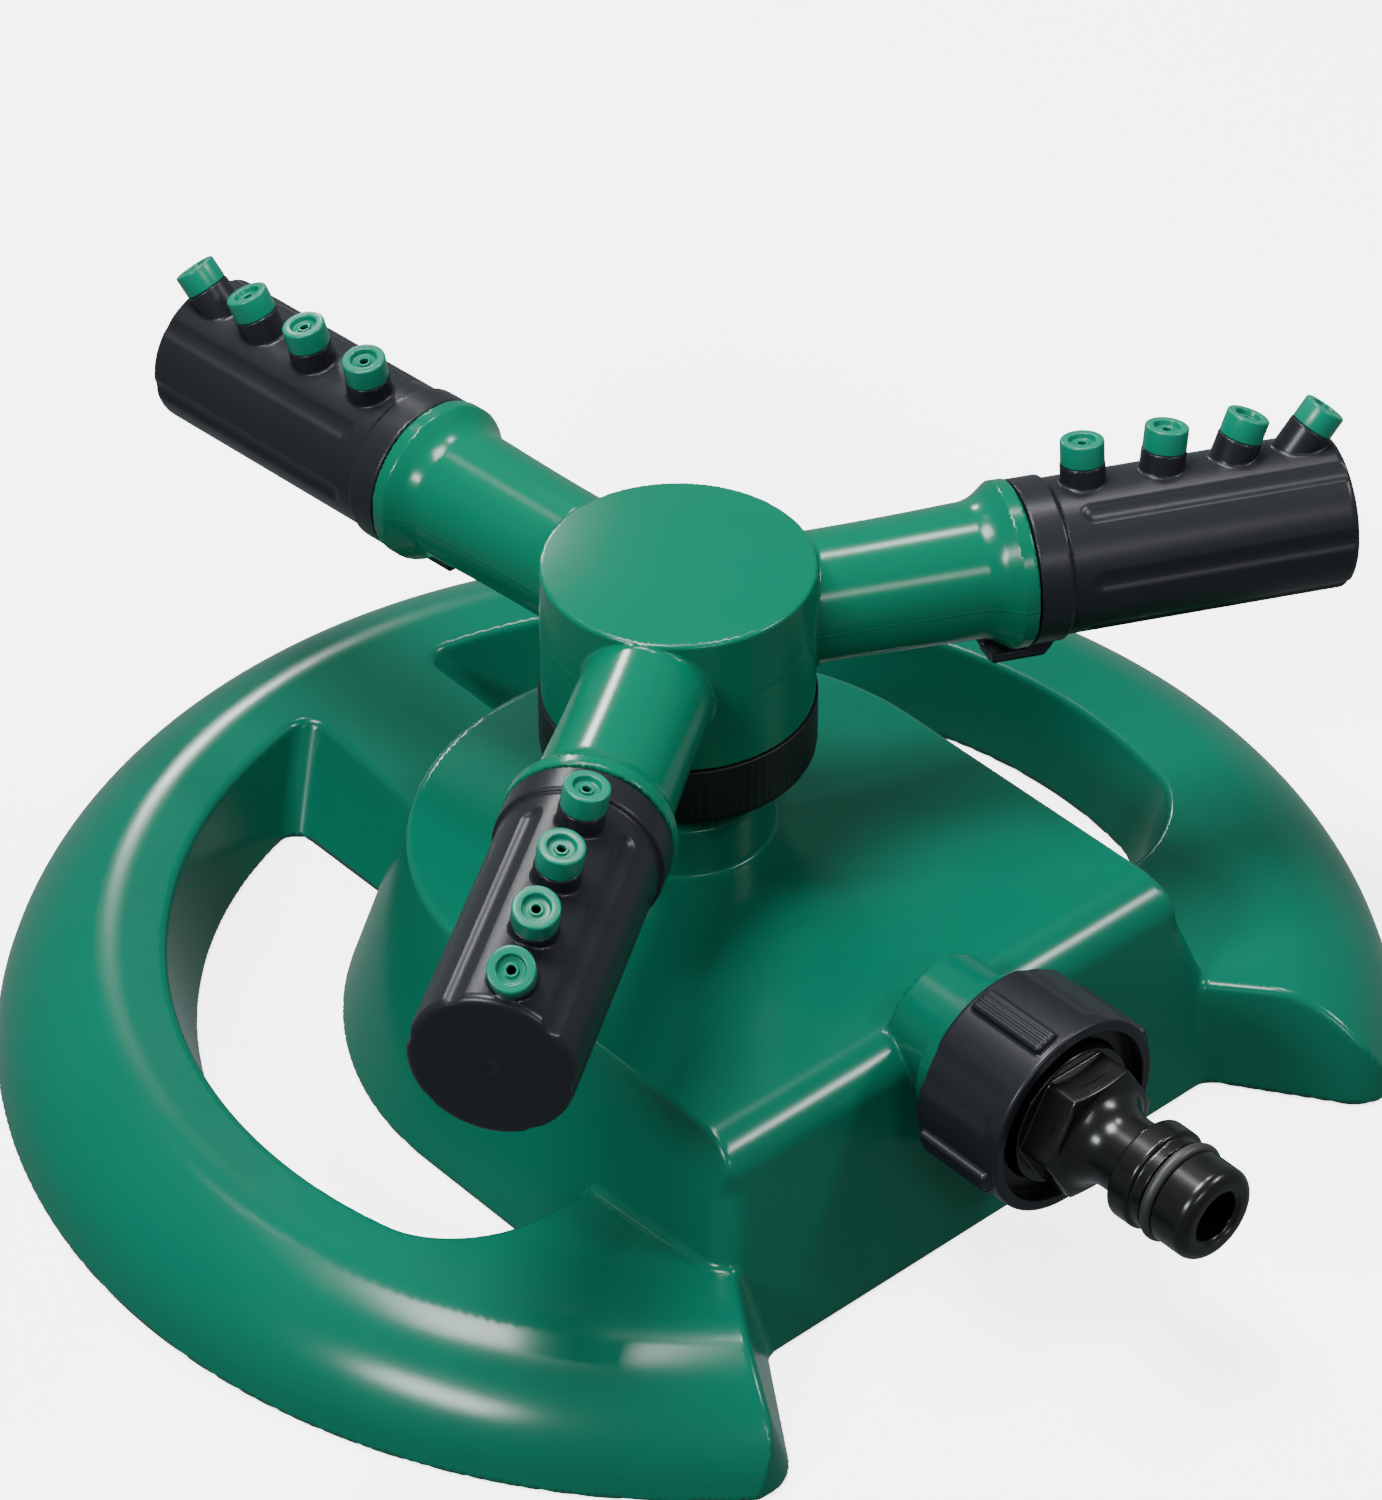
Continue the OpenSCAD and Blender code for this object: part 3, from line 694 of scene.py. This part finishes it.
FLOOR_HALF = 6.0
floor_mesh = bpy.data.meshes.new("floor")
floor_mesh.from_pydata([(-FLOOR_HALF, -FLOOR_HALF, 0), (FLOOR_HALF, -FLOOR_HALF, 0),
                        (FLOOR_HALF, FLOOR_HALF, 0), (-FLOOR_HALF, FLOOR_HALF, 0)], [], [(0, 1, 2, 3)])
floor = bpy.data.objects.new("floor", floor_mesh)
floor_mesh.materials.append(glowing_material("floor_white", (0.85, 0.85, 0.85), 0.9, 3.0))
bpy.context.scene.collection.objects.link(floor)
# The floor neither shows in the gloss nor lights the object from below; the world does that evenly.
floor.visible_glossy = False
floor.visible_diffuse = False

world = bpy.data.worlds.new("studio")
world.use_nodes = True
world.node_tree.nodes["Background"].inputs[0].default_value = (0.86, 0.97, 1.0, 1)
world.node_tree.nodes["Background"].inputs[1].default_value = 0.35
bpy.context.scene.world = world


LIGHTS_AIM = Vector((0, -0.02, 0.05))


def softbox(name, direction, reach, width, height, power, colour=(1, 1, 1)):
    """A rectangular light facing the object from a direction, at a distance in metres."""
    light = bpy.data.lights.new(name, "AREA")
    light.shape = "RECTANGLE"
    light.size = width
    light.size_y = height
    light.energy = power
    light.color = colour
    lamp = bpy.data.objects.new(name, light)
    bpy.context.scene.collection.objects.link(lamp)
    away = Vector(direction).normalized() * reach
    lamp.location = LIGHTS_AIM + away
    lamp.rotation_euler = (-away).to_track_quat("-Z", "Y").to_euler()


# The top light shapes the object, and each of the others puts one highlight on it: on the ring's left
# shoulder, the ring's front, the hump's front edge, and the front, right and left arms.
softbox("top", (-0.13, 0.19, 0.97), 1.5, 0.5, 0.5, 45)
softbox("left", (-0.82, -0.09, 0.57), 1.5, 0.45, 0.22, 24, (0.92, 0.99, 1.0))
softbox("front", (-0.20, -0.80, 0.56), 1.9, 0.6, 0.2, 8)
softbox("edge", (0.52, -0.51, 0.68), 1.5, 0.35, 0.12, 13)
softbox("back", (0.38, 0.79, 0.47), 1.5, 0.16, 0.1, 7)
softbox("arm_right", (0.33, 0.19, 0.92), 1.5, 0.2, 0.16, 10)
softbox("arm_left", (0.0, 0.58, 0.81), 1.5, 0.2, 0.1, 0.7)

CAMERA_AZIMUTH = math.radians(-41.71)
CAMERA_HEIGHT = math.radians(38.15)
CAMERA_REACH = 0.90077
TARGET = Vector((-0.01749, -0.02271, 0.07273))
back = Vector((math.sin(CAMERA_AZIMUTH) * math.cos(CAMERA_HEIGHT),
               -math.cos(CAMERA_AZIMUTH) * math.cos(CAMERA_HEIGHT), math.sin(CAMERA_HEIGHT)))
camera_data = bpy.data.cameras.new("camera")
camera_data.sensor_width = 36
camera_data.sensor_fit = "HORIZONTAL"
camera_data.lens = 151.65
camera_data.clip_end = 50
camera = bpy.data.objects.new("camera", camera_data)
bpy.context.scene.collection.objects.link(camera)
camera.location = TARGET + back * CAMERA_REACH
camera.rotation_euler = (-back).to_track_quat("-Z", "Y").to_euler()
bpy.context.scene.camera = camera
